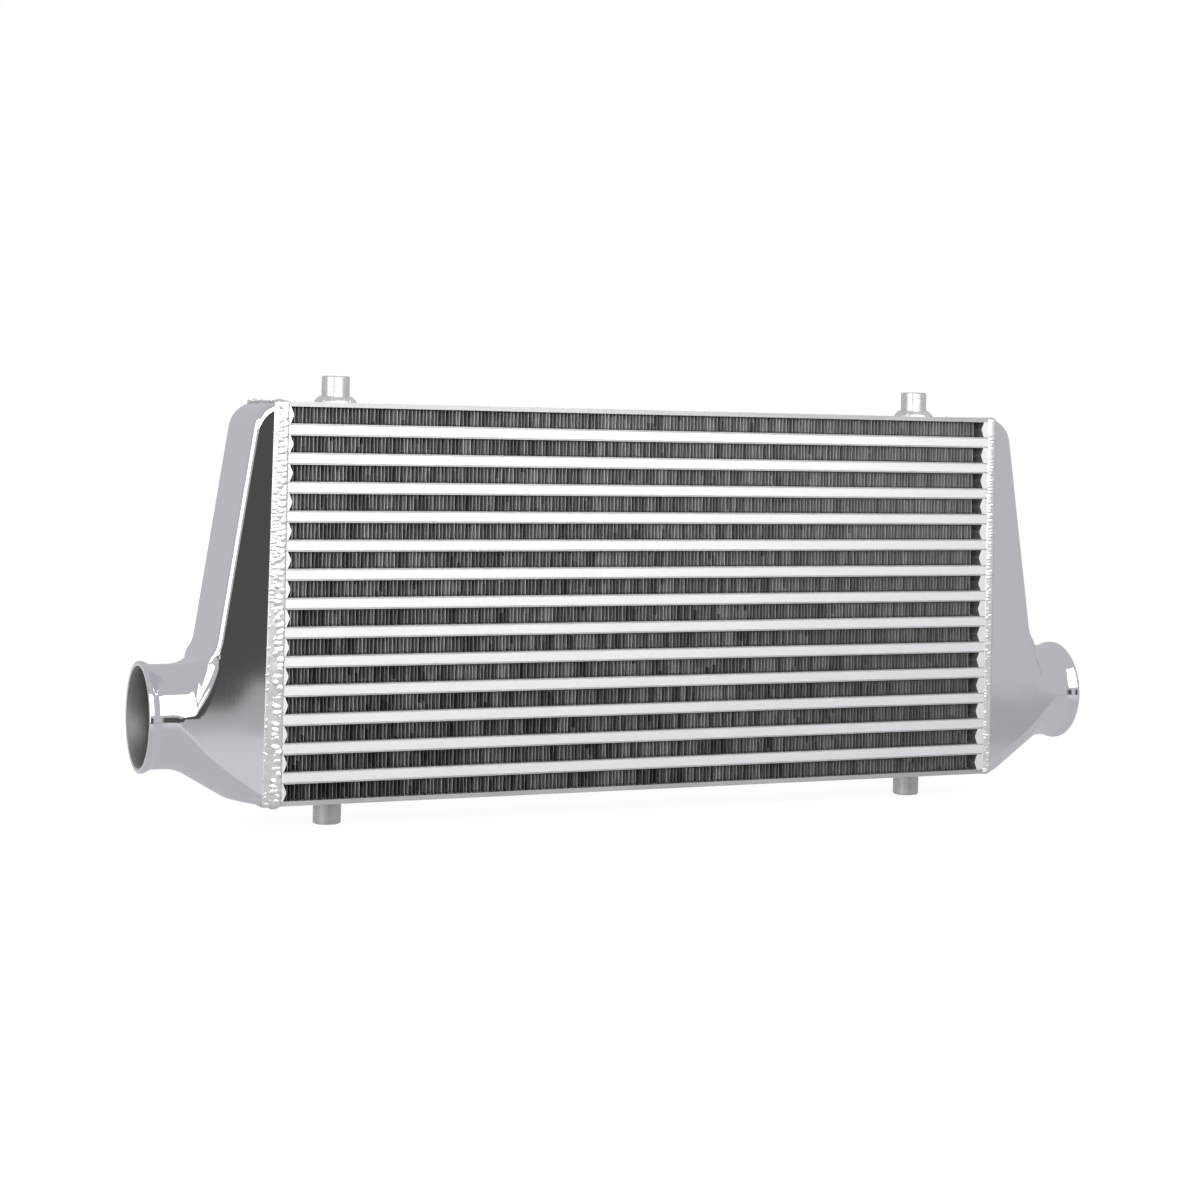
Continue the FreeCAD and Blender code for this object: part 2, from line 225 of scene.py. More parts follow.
def weldSkin():
    values = {"light": grey(0.95), "dark": grey(0.78, (1.0, 0.99, 0.98)), "roughness": 0.25,
              "spread": 0.2, "depth": 0.12 * mm}
    finish, graph, place = newFinish("weldSkin")
    cloud = graph.noise(place, 160.0, 3.0)
    speck = graph.noise(place, 1300.0, 2.0)
    colour = graph.colour(cloud * 0.6 + speck * 0.4, values["dark"], values["light"])
    roughness = values["roughness"] + values["spread"] * cloud
    metalSurface(graph, colour, roughness, speck * 0.3 + cloud * 0.7, values["depth"])
    return finish


def bossSkin():
    values = {"light": grey(0.88), "dark": grey(0.40), "roughness": 0.22, "spread": 0.14,
              "depth": 0.02 * mm, "shadedBottom": 0.0, "upper": 0.6}
    finish, graph, place = newFinish("bossSkin")
    turned = graph.noise(place, 80.0, 3.0, (0.3, 0.3, 26.0))
    cloud = graph.noise(place, 120.0, 2.0)
    level = graph.parts(place)[2]
    # painted shade: the bosses grow darker towards the bottom, so the lower pair is shaded
    bright = graph.ramped(level, -0.15, 0.15, values["shadedBottom"], values["upper"])
    bright = turned * 0.25 + cloud * 0.35 + bright
    colour = graph.colour(bright, values["dark"], values["light"])
    roughness = values["roughness"] + values["spread"] * turned
    metalSurface(graph, colour, roughness, turned, values["depth"])
    return finish


skins = {
    "cast_tank": castSkin(), "bar_metal": barSkin(), "fin_strip": finSkin(),
    "side_plate": plateSkin(), "weld_bead": weldSkin(), "boss_metal": bossSkin(),
}
for subpart in frame["record"]["subparts"]:
    slots = frame["nodes"][subpart["node"]].data.materials
    slots.clear()
    slots.append(skins[subpart["material_slot"]])
print("finishes made:", len(skins))


def keepPiece(piece, slot, *nodes):
    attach(piece, "root")
    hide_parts(*nodes)


def newPiece(name, mesh, slot, sharpness=None):
    piece = bpy.data.objects.new(name, mesh)
    bpy.context.scene.collection.objects.link(piece)
    if not mesh.materials:
        mesh.materials.append(skins[slot])
    mesh.shade_smooth()
    if sharpness:
        mesh.set_sharp_from_angle(angle=math.radians(sharpness))
    return piece


# Geometry Nodes: a tree with named inputs, and the plain mesh that it grows


def newTree(name, **inputs):
    tree = bpy.data.node_groups.new(name, "GeometryNodeTree")
    tree.interface.new_socket("Geometry", in_out="OUTPUT", socket_type="NodeSocketGeometry")
    for label, kind in inputs.items():
        tree.interface.new_socket(label, in_out="INPUT", socket_type=f"NodeSocket{kind}")
    graph = Graph(tree)
    entry = tree.nodes.new("NodeGroupInput")
    return graph, {label: Wire(graph, entry.outputs[label]) for label in inputs}


def closeTree(graph, geometry, slot):
    real = graph.node("GeometryNodeRealizeInstances", None, {0: geometry})
    dressed = graph.node("GeometryNodeSetMaterial", None,
                         {"Geometry": real, "Material": skins[slot]})
    graph.node("NodeGroupOutput", None, {0: dressed})
    return graph.tree


def grow(tree, **values):
    host = bpy.data.objects.new("grower", bpy.data.meshes.new("grower"))
    bpy.context.scene.collection.objects.link(host)
    modifier = host.modifiers.new("grow", "NODES")
    modifier.node_group = tree
    for item in tree.interface.items_tree:
        if item.in_out == "INPUT":
            modifier[item.identifier] = values[item.name]
    settled = host.evaluated_get(bpy.context.evaluated_depsgraph_get())
    grown = bpy.data.meshes.new_from_object(settled)
    host.modifiers.remove(modifier)
    bpy.data.objects.remove(host)
    return grown


# Cast tanks: the smooth skin of each casting, found by rays from inside the neck's root.
# Lengths here are in millimetres, x from the core's end face and z from the core's middle.

tankValues = {
    "topReach": 15.6, "topDrop": 7.5, "faceReach": 48.9, "footReach": 37.0, "footRise": 4.4,
    "topRadius": 22.0, "shoulderRadius": 22.0, "edgeRadius": 5.5, "blendRadius": 10.0, "wall": 3.0,
    "neckDrop": 83.6, "neckRadius": 38.0, "neckRoom": 0.3, "flareReach": 47.0, "flareRadius": 20.0,
    "sideRadius": 10.0,
    "sweepStart": 2.0, "sweepEnd": 62.0, "sweepSoftness": 30.0, "sweepHeight": 16.0,
    "neckStart": 72.0, "neckReach": 88.7, "lipRadius": 40.5,
    "lipLength": 9.0, "lipLand": 2.2, "lipSoftness": 0.8, "mouthChamfer": 1.9,
    "mouthRun": 2.375, "mouthEdge": 0.4, "lipSteps": 12, "softSteps": 4, "boreSteps": 5,
    "rimStep": 2.0, "rimFineStep": 1.1, "rimFineRoom": 9.0, "outerRings": 104, "innerRings": 36,
}
coreLow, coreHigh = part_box("top_plate")[0] / mm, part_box("top_plate")[1] / mm
coreEnd, halfDepth, halfHeight = coreHigh.x, coreHigh.y, coreHigh.z


class Side:
    # one straight side of the tank's profile, followed anticlockwise

    def __init__(self, start, end):
        run, rise = end[0] - start[0], end[1] - start[1]
        length = math.hypot(run, rise)
        self.start = start
        self.facing = (rise / length, -run / length)

    def beyond(self, x, z):
        return (x - self.start[0]) * self.facing[0] + (z - self.start[1]) * self.facing[1]

    def cosine(self, other):
        return self.facing[0] * other.facing[0] + self.facing[1] * other.facing[1]


def shared(first, second, radius, cosine=0.0):
    # distance beyond what two solids share, with the edge between their surfaces rounded
    a, b = first + radius, second + radius
    square = np.maximum(a * a + b * b - 2 * a * b * cosine, 0) / (1 - cosine**2)
    edge = (a > cosine * b) & (b > cosine * a)
    return np.where(edge, np.sqrt(square), np.maximum(a, b)) - radius


def joined(first, second, radius, cosine=0.0):
    # distance beyond two solids together, with the corner between them filled
    return -shared(-first, -second, radius, cosine)


def tankSides(v):
    slope = (v["faceReach"] - v["topReach"]) / (halfHeight + v["neckDrop"])
    neckTop = v["neckRadius"] + v["neckRoom"] - v["neckDrop"]
    corner = (v["topReach"], halfHeight - v["topDrop"])
    shoulder = (v["topReach"] + slope * (halfHeight - neckTop), neckTop)
    foot = (v["footReach"], v["footRise"] - halfHeight)
    return {"top": Side(corner, (0, halfHeight)), "face": Side(shoulder, corner),
            "neckTop": Side((1, neckTop), (0, neckTop)), "foot": Side((0, -halfHeight), foot)}


sides = tankSides(tankValues)


def beyondWedge(x, y, z):
    # the upright wedge and the band of the neck beside it, with front and back edges rounded
    v = tankValues
    face, neckTop, top = sides["face"], sides["neckTop"], sides["top"]
    upper = joined(face.beyond(x, z), neckTop.beyond(x, z), v["shoulderRadius"],
                   face.cosine(neckTop))
    upper = shared(upper, top.beyond(x, z), v["topRadius"], face.cosine(top))
    profile = np.maximum(upper, sides["foot"].beyond(x, z))
    return shared(profile, abs(y) - halfDepth, v["edgeRadius"])


def beyondFlare(x, y, z):
    # above the neck's axis a flare that is tighter at its sides, and below it a long cone that
    # leads to the core's corners
    v = tankValues
    rise = z + v["neckDrop"]
    stem = np.hypot(y, rise) - v["neckRadius"]
    sideways = abs(y) / np.maximum(np.hypot(y, rise), 1e-6)
    fillet = v["flareRadius"] + (v["sideRadius"] - v["flareRadius"]) * sideways**2
    above = joined(x - v["flareReach"], stem, fillet)
    cornerRadius = math.hypot(halfDepth, halfHeight - v["neckDrop"]) + v["neckRoom"]
    slant = math.atan2(cornerRadius - v["neckRadius"], v["sweepEnd"] - v["sweepStart"])
    cone = (stem - (v["sweepEnd"] - x) * math.tan(slant)) * math.cos(slant)
    below = joined(cone, stem, v["sweepSoftness"], math.cos(slant))
    share = np.clip(rise / v["sweepHeight"] + 0.5, 0, 1)
    return below + (above - below) * share**2 * (3 - 2 * share)


def steepest(distance, x, y, z):
    # unit vector along which the distance grows fastest
    step = 0.02
    rise = np.stack([
        distance(x + step, y, z) - distance(x - step, y, z),
        distance(x, y + step, z) - distance(x, y - step, z),
        distance(x, y, z + step) - distance(x, y, z - step),
    ])
    return rise / np.maximum(np.linalg.norm(rise, axis=0), 1e-9)


def beyondTank(x, y, z):
    cosine = (steepest(beyondWedge, x, y, z) * steepest(beyondFlare, x, y, z)).sum(axis=0)
    edge = tankValues["blendRadius"]
    return shared(beyondWedge(x, y, z), beyondFlare(x, y, z), edge, np.clip(cosine, -0.99, 0.999))


def castRays(turns, leans, depth, halvings):
    # where rays from the neck's root come within the given depth of the tank's outside
    root = np.array([0.0, 0.0, -tankValues["neckDrop"]])[:, None, None]
    way = np.stack([
        np.cos(leans), np.sin(leans) * np.cos(turns), np.sin(leans) * np.sin(turns),
    ])
    near, far = np.zeros_like(leans), np.full_like(leans, 300.0)
    for _ in range(halvings):
        middle = (near + far) / 2
        within = beyondTank(*(root + way * middle)) < -depth
        near, far = np.where(within, middle, near), np.where(within, far, middle)
    return root + way * near


def rimTurns(v):
    # directions from the neck's axis to even steps round the tank's open end
    def steps(half):
        fine = np.arange(0, v["rimFineRoom"], v["rimFineStep"])
        count = round(2 * (half - v["rimFineRoom"]) / v["rimStep"])
        middle = np.linspace(v["rimFineRoom"] - half, half - v["rimFineRoom"], count)
        last = half - v["rimFineRoom"] + fine + v["rimFineStep"]
        return np.concatenate([fine - half, middle, last])

    across, up = steps(halfDepth)[:-1], steps(halfHeight)[:-1]
    side, end = np.full_like(up, halfDepth), np.full_like(across, halfHeight)
    y = np.concatenate([across, side, -across, -side])
    z = np.concatenate([-end, up, end, -up])
    return np.arctan2(z + v["neckDrop"], y)


def tankRings(turns, depth, count):
    # rings of points from the core's end to the neck, closer together where the surface bends
    v = tankValues
    last = math.atan2(v["neckRadius"] - depth, v["neckStart"])
    share = np.linspace(0, 1, 90) ** 1.7
    leans = np.broadcast_to(math.pi / 2 - share * (math.pi / 2 - last), (len(turns), len(share)))
    points = castRays(turns[:, None] + 0 * leans, leans, depth, 18)
    runs = np.diff(points, axis=2)
    lengths = np.linalg.norm(runs, axis=0)
    ways = runs / np.maximum(lengths, 1e-6)
    bends = np.arccos(np.clip((ways[:, :, 1:] * ways[:, :, :-1]).sum(axis=0), -1, 1))
    weights = lengths + v["edgeRadius"] * np.pad(bends, ((0, 0), (0, 1)))
    travel = np.pad(np.cumsum(weights, axis=1), ((0, 0), (1, 0)))
    even = np.stack([
        np.interp(np.linspace(0, row[-1], count), row, lean) for row, lean in zip(travel, leans)
    ])
    return castRays(turns[:, None] + 0 * even, even, depth, 30)


def lipProfile(v):
    # the neck's end as (x, radius) points: out to the lip, round the mouth and back down the bore
    inner = v["neckRadius"] - v["wall"]
    rise = v["lipRadius"] - v["neckRadius"]
    soft = v["lipSoftness"]
    flareStart = v["neckReach"] - v["lipLength"]
    flareRun = v["lipLength"] - v["lipLand"]
    points = []
    for n in range(1, v["lipSteps"] + 1):
        share = n / v["lipSteps"]
        eased = share**2 * (3 - 2 * share)
        points.append((flareStart + flareRun * share, v["neckRadius"] + rise * eased))
    for n in range(v["softSteps"] + 1):
        turn = math.pi / 2 * n / v["softSteps"]
        points.append((v["neckReach"] - soft + soft * math.sin(turn),
                       v["lipRadius"] - soft + soft * math.cos(turn)))
    opened, edge = inner + v["mouthChamfer"], v["mouthEdge"]
    points += [(v["neckReach"], opened + edge), (v["neckReach"] - edge, opened)]
    for n in range(1, v["boreSteps"] + 1):
        share = n / v["boreSteps"]
        points.append((v["neckReach"] - edge - share * v["mouthRun"],
                       opened - share * v["mouthChamfer"]))
    return points


def tankSkin(v):
    turns = rimTurns(v)
    outer = tankRings(turns, 0.0, v["outerRings"])
    inner = tankRings(turns, v["wall"], v["innerRings"])
    lip = lipProfile(v)
    reach = np.array([point[0] for point in lip])[None, :] + 0 * turns[:, None]
    radius = np.array([point[1] for point in lip])[None, :]
    end = np.stack([reach, radius * np.cos(turns)[:, None],
                    radius * np.sin(turns)[:, None] - v["neckDrop"]])
    points = np.concatenate([outer, end, inner[:, :, ::-1]], axis=2)
    normals = np.zeros_like(points)
    normals[:, :, :v["outerRings"]] = steepest(beyondTank, *outer)
    inside = np.zeros(points.shape[1:])
    inside[:, v["outerRings"] + len(lip) - v["boreSteps"] - 1:] = 1.0
    return points, normals, inside


def tankPiece(name, way, skinPoints, skinNormals, skinInside):
    # way is 1 for the right tank and -1 for its mirror image
    count, rings = skinPoints.shape[1:]
    flip = np.array([way, 1, 1])[:, None, None]
    shift = np.array([coreEnd, 0, 0])[:, None, None]
    places = ((skinPoints + shift) * flip * mm).reshape(3, -1).T
    normals = (skinNormals * flip).reshape(3, -1).T
    numbers = np.arange(count * rings).reshape(count, rings)
    after, onward = np.roll(numbers, -1, axis=0), np.roll(numbers, -1, axis=1)
    beside = np.roll(after, -1, axis=1)
    quads = np.stack([corner.ravel() for corner in (numbers, after, beside, onward)], axis=1)
    mesh = bpy.data.meshes.new(name)
    mesh.from_pydata(places.tolist(), [], quads.tolist())
    shape = bmesh.new()
    shape.from_mesh(mesh)
    bmesh.ops.recalc_face_normals(shape, faces=shape.faces)
    shape.to_mesh(mesh)
    shape.free()
    piece = newPiece(name, mesh, "cast_tank")
    mesh.normals_split_custom_set_from_vertices(normals.tolist())
    mesh.attributes.new("inside", "FLOAT", "POINT").data.foreach_set("value", skinInside.ravel())
    return piece


skin = tankSkin(tankValues)
for side, way in (("right", 1), ("left", -1)):
    keepPiece(tankPiece(f"{side}CastTank", way, *skin), "cast_tank", f"{side}_tank")
print("tanks cast:", skin[2].size, "points each")


# Ambient fins: thin strip folded square, cut into short lengths that stand half a fold apart

finValues = {"Step": 2.9 * mm, "Strip": 0.3 * mm, "Slant": 0.2 * mm, "Jitter": 0.35 * mm,
             "Lengths": 5, "Share": 0.97}
finRecess = 1.2 * mm


def finTree():
    graph, given = newTree("foldedFin", Room="Float", Run="Float", Height="Float", Middle="Float",
                           Step="Float", Strip="Float", Slant="Float", Jitter="Float",
                           Share="Float", Walls="Int", Lengths="Int", Seed="Int")
    room, run, step, strip = (given[name] for name in ("Room", "Run", "Step", "Strip"))
    length = run / given["Lengths"]
    sheet = graph.node("GeometryNodeMeshGrid", None, {
        "Size X": room, "Size Y": length * given["Share"], "Vertices X": given["Walls"] * 2,
        "Vertices Y": 2,
    })
    spots = graph.node("GeometryNodeMeshLine", {"mode": "OFFSET"}, {
        "Count": given["Lengths"], "Start Location": graph.vector(0.0, (length - run) / 2, 0.0),
        "Offset": graph.vector(0.0, length, 0.0),
    })
    spread = graph.node("GeometryNodeInstanceOnPoints", None, {"Points": spots, "Instance": sheet})
    real = graph.node("GeometryNodeRealizeInstances", None, {0: spread})
    x, y, z = graph.parts(graph.node("GeometryNodeInputPosition"))
    number = ((x / room + 0.5) * (given["Walls"] * 2 - 1) + 0.5) // 1.0
    wall = number // 2.0
    up = number % 2.0
    piece = (y + run / 2) // length
    level = (up + wall) % 2.0
    shake = graph.node("FunctionNodeRandomValue", {"data_type": "FLOAT"}, {
        2: -1.0, 3: 1.0, "ID": wall + piece * 1000.0, "Seed": given["Seed"]}, 1)
    newX = (wall + 0.35 + (piece % 2.0) * 0.5) * step - room / 2
    newX = newX + up * given["Slant"] + shake * given["Jitter"]
    newZ = (level - 0.5) * (given["Height"] - strip) + given["Middle"]
    folded = graph.node("GeometryNodeSetPosition", None, {
        "Geometry": real, "Position": graph.vector(newX, y, newZ)})
    thick = graph.node("GeometryNodeExtrudeMesh", {"mode": "FACES"}, {
        "Mesh": folded, "Offset Scale": strip, "Individual": False})
    under = graph.node("GeometryNodeFlipFaces", None, {0: folded})
    both = graph.node("GeometryNodeJoinGeometry", None, {0: [thick, under]})
    closed = graph.node("GeometryNodeMergeByDistance", None, {"Geometry": both, "Distance": 1e-6})
    return closeTree(graph, closed, "fin_strip")


foldedFin = finTree()
for n, node in enumerate(sorted(name for name in frame["nodes"] if name.startswith("ambient_fin"))):
    low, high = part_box(node)
    walls = int((high.x - low.x) / finValues["Step"]) - 1
    mesh = grow(foldedFin, Room=high.x - low.x, Run=high.y - low.y - 2 * finRecess,
                Height=high.z - low.z, Middle=(low.z + high.z) / 2, Walls=walls, Seed=n, **finValues)
    piece = newPiece(f"foldedFin{n + 1:02d}", mesh, "fin_strip")
    mesh.shade_flat()
    keepPiece(piece, "fin_strip", node)
print("fins folded:", n + 1, "rows of", walls, "walls")


# Welds: a low bead with overlapping ripples laid along a closed path in the XY plane

seamValues = {
    "left": (
        {"Shift": -2.0 * mm, "TopShift": 1.5 * mm, "Pitch": 2.7 * mm, "BeadWidth": 8.0 * mm,
         "BeadHeight": 1.5 * mm, "Calm": 0.35, "Wander": 0.3, "Seed": 3},
        {"Shift": 4.4 * mm, "TopShift": 4.4 * mm, "Pitch": 4.2 * mm, "BeadWidth": 9.4 * mm,
         "BeadHeight": 1.75 * mm, "Calm": 0.9, "Wander": 0.35, "Seed": 4},
    ),
    "right": (
        {"Shift": 1.0 * mm, "TopShift": 2.5 * mm, "Pitch": 2.6 * mm, "BeadWidth": 7.6 * mm,
         "BeadHeight": 1.1 * mm, "Calm": 0.8, "Wander": 0.12, "Seed": 5},
    ),
}
seamCorner = 2.5 * mm
ringValues = {"Pitch": 2.4 * mm, "BeadWidth": 7.6 * mm, "BeadHeight": 1.5 * mm, "Room": 2.7 * mm,
              "Lift": 2.3 * mm}


def addRipples(graph, path, given, height, lift=0.0, wander=0.1):
    # overlapping drops along the path, leaning back like weld ripples and facing out or up
    points = graph.node("GeometryNodeResampleCurve", {"mode": "LENGTH"},
                        {"Curve": path, "Length": given["Pitch"]})
    along = graph.node("GeometryNodeInputTangent")
    outward = graph.node("ShaderNodeVectorMath", {"operation": "CROSS_PRODUCT"},
                         {0: along, 1: (0.0, 0.0, 1.0)})
    outward = graph.node("ShaderNodeVectorMath", {"operation": "ADD"},
                         {0: outward, 1: (0.0, 0.0, lift)})
    facing = graph.node("FunctionNodeAlignRotationToVector", {"axis": "Z"}, {"Vector": outward})
    facing = graph.node("FunctionNodeAlignRotationToVector", {"axis": "X", "pivot_axis": "Z"},
                        {"Rotation": facing, "Vector": along})
    turn = graph.node("FunctionNodeRandomValue", {"data_type": "FLOAT_VECTOR"},
                      {0: (-1.0, -1.0, -1.0), 1: (1.0, 1.0, 1.0), "Seed": given["Seed"]})
    turn = graph.node("ShaderNodeVectorMath", {"operation": "SCALE"}, {0: turn, "Scale": wander})
    facing = graph.node("FunctionNodeRotateRotation", {"rotation_space": "LOCAL"},
                        {"Rotation": facing, "Rotate By": turn})
    shake = graph.node("FunctionNodeRandomValue", {"data_type": "FLOAT"},
                       {2: 0.8, 3: 1.1, "Seed": given["Seed"]}, 1)
    drop = graph.node("GeometryNodeMeshUVSphere", None, {"Segments": 10, "Rings": 6, "Radius": 1.0})
    leaning = graph.node("GeometryNodeTransform", None, {
        "Geometry": drop, "Rotation": (0.0, math.radians(32), 0.0), "Scale": (0.62, 1.0, 0.9)})
    size = graph.vector(given["Pitch"] * 1.15, given["BeadWidth"] * shake / 2, height * shake)
    return graph.node("GeometryNodeInstanceOnPoints", None, {
        "Points": points, "Instance": leaning, "Rotation": facing, "Scale": size})


def addBead(graph, path, width, height, turn=0.0):
    # the smooth bead under the ripples, an ellipse drawn along the path
    upright = graph.node("GeometryNodeSetCurveNormal", {"mode": "Z_UP"}, {"Curve": path})
    ring = graph.node("GeometryNodeCurvePrimitiveCircle", None, {"Resolution": 14, "Radius": 1.0})
    oval = graph.node("GeometryNodeTransform", None, {
        "Geometry": ring, "Scale": graph.vector(height, width / 2, 1.0)})
    oval = graph.node("GeometryNodeTransform", None,
                      {"Geometry": oval, "Rotation": (0.0, 0.0, turn)})
    return graph.node("GeometryNodeCurveToMesh", None, {"Curve": upright, "Profile Curve": oval})


def seamTree():
    graph, given = newTree("tankSeam", Depth="Float", Height="Float", Corner="Float",
                           Shift="Float", TopShift="Float", Pitch="Float", BeadWidth="Float",
                           BeadHeight="Float", Calm="Float", Wander="Float", Seed="Int")
    loop = graph.node("GeometryNodeCurvePrimitiveQuadrilateral", {"mode": "RECTANGLE"}, {
        "Width": given["Depth"], "Height": given["Height"]})
    loop = graph.node("GeometryNodeFilletCurve", {"mode": "POLY"}, {
        "Curve": loop, "Radius": given["Corner"], "Count": 6})
    place = graph.node("GeometryNodeInputPosition")
    level = graph.parts(place)[1]
    shift = given["TopShift"] - given["Shift"]
    shift = given["Shift"] + shift * graph.ramped(level, 0.125, 0.144)
    loop = graph.node("GeometryNodeSetPosition", None, {
        "Geometry": loop, "Offset": graph.vector(0.0, 0.0, shift)})
    height = given["BeadHeight"] * graph.ramped(level, -0.02, 0.01, given["Calm"], 1.0)
    height = height * (0.75 + graph.noise(place, 70.0, 2.0) * 0.25)
    height = height * graph.ramped(level, 0.125, 0.145, 1.0, 0.3)
    ripples = addRipples(graph, loop, given, height, 0.0, given["Wander"])
    bead = addBead(graph, loop, given["BeadWidth"] * 0.96, given["BeadHeight"] * 0.5)
    both = graph.node("GeometryNodeJoinGeometry", None, {0: [ripples, bead]})
    return closeTree(graph, both, "weld_bead")


def ringTree():
    graph, given = newTree("bossSeam", Radius="Float", Room="Float", Lift="Float", Pitch="Float",
                           BeadWidth="Float", BeadHeight="Float", Spread="Float", Seed="Int")
    loop = graph.node("GeometryNodeCurvePrimitiveCircle", None, {
        "Resolution": 48, "Radius": given["Radius"] + given["Room"]})
    loop = graph.node("GeometryNodeTransform", None, {
        "Geometry": loop, "Translation": graph.vector(0.0, 0.0, given["Lift"])})
    ripples = addRipples(graph, loop, given, given["BeadHeight"], 1.0)
    bead = addBead(graph, loop, given["BeadWidth"], given["BeadHeight"] * 0.8, math.radians(-45))
    both = graph.node("GeometryNodeJoinGeometry", None, {0: [ripples, bead]})
    ends = graph.node("GeometryNodeMeshLine", {"mode": "OFFSET"}, {
        "Count": 2, "Start Location": graph.vector(given["Spread"] * -0.5),
        "Offset": graph.vector(given["Spread"])})
    pair = graph.node("GeometryNodeInstanceOnPoints", None, {"Points": ends, "Instance": both})
    return closeTree(graph, pair, "weld_bead")


def joinMeshes(name, meshes):
    whole = bmesh.new()
    for mesh in meshes:
        whole.from_mesh(mesh)
    joinedMesh = bpy.data.meshes.new(name)
    whole.to_mesh(joinedMesh)
    whole.free()
    return joinedMesh


tankSeam = seamTree()
upright = Matrix(((0, 0, 1, 0), (1, 0, 0, 0), (0, 1, 0, 0), (0, 0, 0, 1)))
for side, way in (("left", -1), ("right", 1)):
    beads = []
    for values in seamValues[side]:
        run = {**values, "Shift": values["Shift"] * -way, "TopShift": values["TopShift"] * -way}
        bead = grow(tankSeam, Depth=2 * halfDepth * mm, Height=2 * halfHeight * mm,
                    Corner=seamCorner, **run)
        bead.transform(Matrix.Translation((way * coreEnd * mm, 0, 0)) @ upright)
        beads.append(bead)
    weld = newPiece(f"{side}SeamWeld", joinMeshes(f"{side}SeamWeld", beads), "weld_bead")
    keepPiece(weld, "weld_bead", f"{side}_tank_weld")
print("tank seams welded")


# Bosses: turned bungs with a real thread, standing in a ring of weld

bossValues = {"radius": 10.5, "edge": 0.8, "hole": 4.0, "root": 3.4, "depth": 15.0, "point": 2.0,
              "pitch": 1.25, "lead": 0.7, "steps": 64}


def bossMesh(v, height):
    floor = height - v["depth"]
    profile = [
        (0, floor - v["point"]), (v["hole"], floor), (v["hole"], height - v["lead"]),
        (v["hole"] + v["lead"], height), (v["radius"] - v["edge"], height),
        (v["radius"], height - v["edge"]), (v["radius"], 0), (0, 0),
    ]
    shape = bmesh.new()
    chain = [shape.verts.new((x * mm, 0, z * mm)) for x, z in profile]
    edges = [shape.edges.new(pair) for pair in zip(chain, chain[1:])]
    bmesh.ops.spin(shape, geom=chain + edges, cent=(0, 0, 0), axis=(0, 0, 1),
                   angle=math.tau, steps=v["steps"], use_merge=True)
    bmesh.ops.remove_doubles(shape, verts=shape.verts, dist=1e-6)
    bmesh.ops.recalc_face_normals(shape, faces=shape.faces)
    mesh = bpy.data.meshes.new("bung")
    shape.to_mesh(mesh)
    shape.free()
    return mesh


def threadTree():
    graph, given = newTree("thread", Radius="Float", Ridge="Float", Pitch="Float", Length="Float",
                           Floor="Float")
    helix = graph.node("GeometryNodeCurveSpiral", None, {
        "Resolution": 32, "Rotations": given["Length"] / given["Pitch"],
        "Start Radius": given["Radius"], "End Radius": given["Radius"],
        "Height": given["Length"]})
    ridge = graph.node("GeometryNodeCurvePrimitiveCircle", None,
                       {"Resolution": 4, "Radius": given["Ridge"]})
    cut = graph.node("GeometryNodeCurveToMesh", None, {"Curve": helix, "Profile Curve": ridge})
    raised = graph.node("GeometryNodeTransform", None, {
        "Geometry": cut, "Translation": graph.vector(0.0, 0.0, given["Floor"])})
    return closeTree(graph, raised, "boss_metal")


thread, bossSeam = threadTree(), ringTree()
bossLow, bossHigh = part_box("top_bosses")
bossHeight = (bossHigh.z - bossLow.z) / mm
bossSpread = bossHigh.x - bossLow.x - 2 * bossValues["radius"] * mm
for seed, (level, way) in enumerate((("top", 1), ("bottom", -1))):
    v = bossValues
    threadMesh = grow(thread, Radius=v["hole"] * mm, Ridge=(v["hole"] - v["root"]) * mm,
                      Pitch=v["pitch"] * mm, Length=(v["depth"] - v["lead"]) * mm,
                      Floor=(bossHeight - v["depth"]) * mm)
    bung = joinMeshes("bung", [bossMesh(v, bossHeight), threadMesh])
    turnOver = Matrix.Rotation(0 if way > 0 else math.pi, 4, "X")
    base = Matrix.Translation((0, 0, way * halfHeight * mm)) @ turnOver
    meshes = []
    for place in (-1, 1):
        copy = bung.copy()
        copy.transform(base @ Matrix.Translation((place * bossSpread / 2, 0, 0)))
        meshes.append(copy)
    pair = joinMeshes(f"{level}Bungs", meshes)
    keepPiece(newPiece(f"{level}Bungs", pair, "boss_metal", 35), "boss_metal", f"{level}_bosses")
    ring = grow(bossSeam, Radius=v["radius"] * mm, Spread=bossSpread, Seed=seed + 7, **ringValues)
    ring.transform(base)
    keepPiece(newPiece(f"{level}BungWelds", ring, "weld_bead"), "weld_bead", f"{level}_boss_welds")
print("bosses turned and welded")


# Camera: solved from the photograph, in pixels of its 1200 x 1200 frame

cameraValues = {"focal": 2364.7, "middleX": 614.9, "middleY": 428.6, "frame": 1200,
                "yaw": 23.854, "pitch": -0.070, "roll": -1.2028,
                "place": (-773.1, -1700.2, 134.2), "film": 36.0}


def addCamera(v):
    yaw, pitch, roll = (math.radians(v[name]) for name in ("yaw", "pitch", "roll"))
    ahead = Vector((math.sin(yaw) * math.cos(pitch), math.cos(yaw) * math.cos(pitch),
                    math.sin(pitch)))
    level = Vector((math.cos(yaw), -math.sin(yaw), 0))
    down = ahead.cross(level)
    right = math.cos(roll) * level + math.sin(roll) * down
    up = math.sin(roll) * level - math.cos(roll) * down
    lens = bpy.data.cameras.new("camera")
    lens.sensor_width = v["film"]
    lens.lens = v["film"] * v["focal"] / v["frame"]
    lens.shift_x = (v["frame"] / 2 - v["middleX"]) / v["frame"]
    lens.shift_y = (v["middleY"] - v["frame"] / 2) / v["frame"]
    lens.clip_end = 50
    camera = bpy.data.objects.new("camera", lens)
    bpy.context.scene.collection.objects.link(camera)
    turned = Matrix((right, up, -ahead)).transposed().to_4x4()
    camera.matrix_world = Matrix.Translation(Vector(v["place"]) * mm) @ turned
    bpy.context.scene.camera = camera


